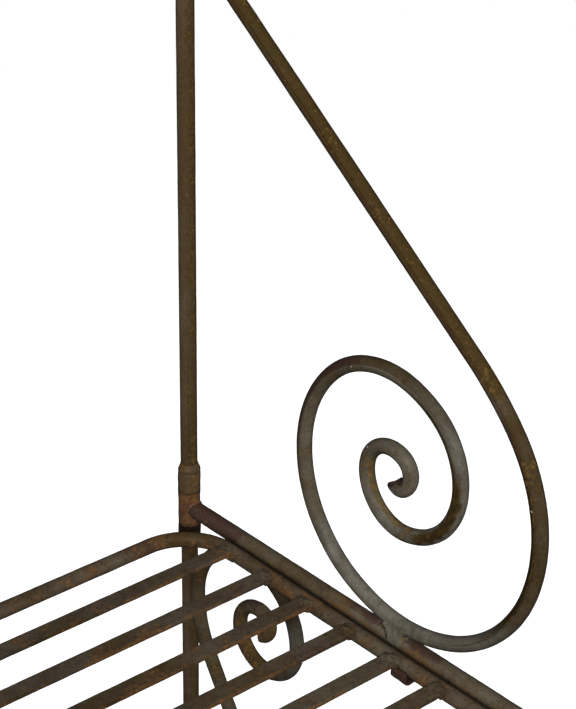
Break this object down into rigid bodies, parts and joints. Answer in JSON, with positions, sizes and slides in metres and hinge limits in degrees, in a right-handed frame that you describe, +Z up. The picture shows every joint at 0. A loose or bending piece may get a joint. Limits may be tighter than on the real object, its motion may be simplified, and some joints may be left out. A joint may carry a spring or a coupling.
{
  "type": "wrought iron stand",
  "caption": "Open-backed wrought-iron stand: scrolled side frames hinged on tubular rear posts carry a lift-off slatted deck.",
  "frame": {"origin": "on the floor, under the middle of the stand's bounding box", "axes": "+Z up, -Y towards the front, +X towards the right-hand side as seen from the front"},
  "size_m": [1.072, 0.5002, 1.1402],
  "materials": {
    "post_iron": "olive-brown rusted wrought iron, satin",
    "rail_iron": "red-brown and grey rusted wrought iron, satin",
    "scroll_iron": "grey-olive rusted tube, satin",
    "eye_iron": "purple-brown forged iron, satin",
    "deck_iron": "grey-brown iron with orange rust at the edges"
  },
  "bodies": {
    "back": {"lower_post_right": "post_iron", "lower_collar_right": "eye_iron", "rear_foot_right": "post_iron", "spigot_right": "eye_iron", "upper_post_right": "post_iron", "ferrule_right": "post_iron", "finial_right": "post_iron", "lower_post_left": "post_iron", "lower_collar_left": "eye_iron", "rear_foot_left": "post_iron", "spigot_left": "eye_iron", "upper_post_left": "post_iron", "ferrule_left": "post_iron", "finial_left": "post_iron", "top_rail": "post_iron", "rear_stretcher": "post_iron"},
    "right_frame": {"rail_eye_right": "eye_iron", "side_rail_right": "rail_iron", "brace_scroll_right": "scroll_iron", "brace_eye_right": "eye_iron", "leg_scroll_right": "scroll_iron", "front_foot_right": "scroll_iron", "scroll_clip_right": "scroll_iron", "front_cradle_right": "eye_iron", "rear_rest_right": "eye_iron"},
    "left_frame": {"rail_eye_left": "eye_iron", "side_rail_left": "rail_iron", "brace_scroll_left": "scroll_iron", "brace_eye_left": "eye_iron", "leg_scroll_left": "scroll_iron", "front_foot_left": "scroll_iron", "scroll_clip_left": "scroll_iron", "front_cradle_left": "eye_iron", "rear_rest_left": "eye_iron"},
    "deck": {"deck_rim": "deck_iron", "slat_1": "deck_iron", "slat_2": "deck_iron", "slat_3": "deck_iron", "slat_4": "deck_iron", "slat_5": "deck_iron", "slat_6": "deck_iron", "slat_7": "deck_iron"}
  },
  "joints": [
    {"name": "deck_lift", "type": "slide", "parent": "back", "child": "deck", "axis": [0, 0, 1], "range_m": [0, 0.72]},
    {"name": "right_frame_swing", "type": "hinge", "parent": "back", "child": "right_frame", "pos_m": [0.52, 0.2341, 0.5], "axis": [0, 0, 1], "range_deg": [0, 55.1]},
    {"name": "left_frame_swing", "type": "hinge", "parent": "back", "child": "left_frame", "pos_m": [-0.52, 0.2341, 0.5], "axis": [0, 0, -1], "range_deg": [0, 55.1]}
  ],
  "couplings": [
    {"joint": "right_frame_swing", "follows": "deck_lift", "rad_per_m": 1.3332},
    {"joint": "left_frame_swing", "follows": "deck_lift", "rad_per_m": 1.3332}
  ]
}
